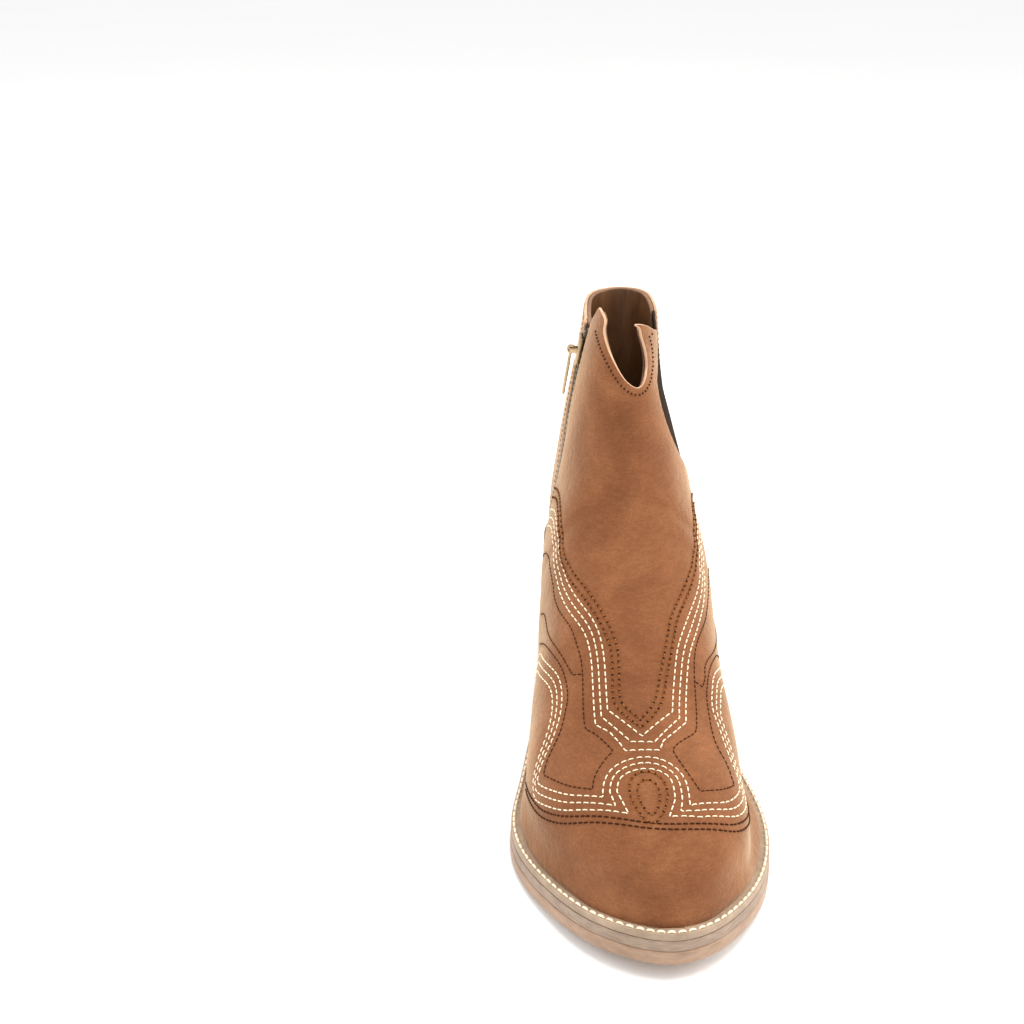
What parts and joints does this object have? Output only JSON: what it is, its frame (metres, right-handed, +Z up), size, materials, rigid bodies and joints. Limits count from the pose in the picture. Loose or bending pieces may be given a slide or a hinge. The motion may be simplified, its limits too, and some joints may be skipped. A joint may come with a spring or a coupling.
{
  "type": "cowboy ankle boot",
  "caption": "Left western ankle boot in suede with a side zip, an elastic side gore, a welted sole and a stacked block heel.",
  "frame": {"origin": "on the ground, under the middle of the boot's bounding box", "axes": "+Z up, -Y towards the toe, +X towards the outer side of a left foot"},
  "size_m": [0.0974, 0.2646, 0.1857],
  "materials": {
    "suede": "brushed suede nap",
    "lining_leather": "smooth, slightly waxed",
    "stiffener": "matt thermoplastic sheet",
    "elastic": "ribbed woven elastic",
    "zip_tape": "woven tape",
    "zip_metal": "antique brass",
    "slider_metal": "light gold, polished",
    "steel": "plain steel",
    "foam": "soft foam",
    "board": "fibreboard",
    "welt_leather": "natural edge, waxed",
    "cork": "cork sheet",
    "midsole_leather": "stacked edge, matt",
    "outsole": "smooth edge, satin",
    "heel_stack": "stacked lifts, burnished",
    "heel_rubber": "dark rubber"
  },
  "bodies": {
    "boot": {"front_panel": "suede", "quarter_medial": "suede", "quarter_lateral": "suede", "back_stay": "suede", "lining_front": "lining_leather", "lining_medial": "lining_leather", "lining_lateral": "lining_leather", "sock_lining": "lining_leather", "heel_counter": "stiffener", "toe_puff": "stiffener", "gore_elastic": "elastic", "zip_tape_front": "zip_tape", "zip_tape_rear": "zip_tape", "zip_teeth_front": "zip_metal", "zip_teeth_rear": "zip_metal", "zip_top_stops": "zip_metal", "zip_bottom_stop": "zip_metal", "shank": "steel", "heel_nails": "steel", "heel_screw": "steel", "top_piece_pins": "steel", "heel_pad": "foam", "insole_board": "board", "welt": "welt_leather", "heel_seat": "welt_leather", "forepart_filler": "cork", "midsole": "midsole_leather", "outsole": "outsole", "heel_lift_1": "heel_stack", "heel_lift_2": "heel_stack", "heel_lift_3": "heel_stack", "heel_lift_4": "heel_stack", "heel_lift_5": "heel_stack", "heel_lift_6": "heel_stack", "heel_wedge": "heel_stack", "top_piece": "heel_rubber"},
    "slider": {"zip_slider": "slider_metal"},
    "pull_tab": {"zip_pull": "slider_metal"}
  },
  "joints": [
    {"name": "zip_slide", "type": "slide", "parent": "boot", "child": "slider", "axis": [-0.1541, 0.0481, -0.9869], "range_m": [0, 0.062], "deforming": ["zip_teeth_front", "zip_teeth_rear"]},
    {"name": "pull_swing", "type": "hinge", "parent": "slider", "child": "pull_tab", "pos_m": [-0.02091, 0.05441, 0.16406], "axis": [0.0509, 0.9979, 0.0407], "range_deg": [0, 150]}
  ]
}
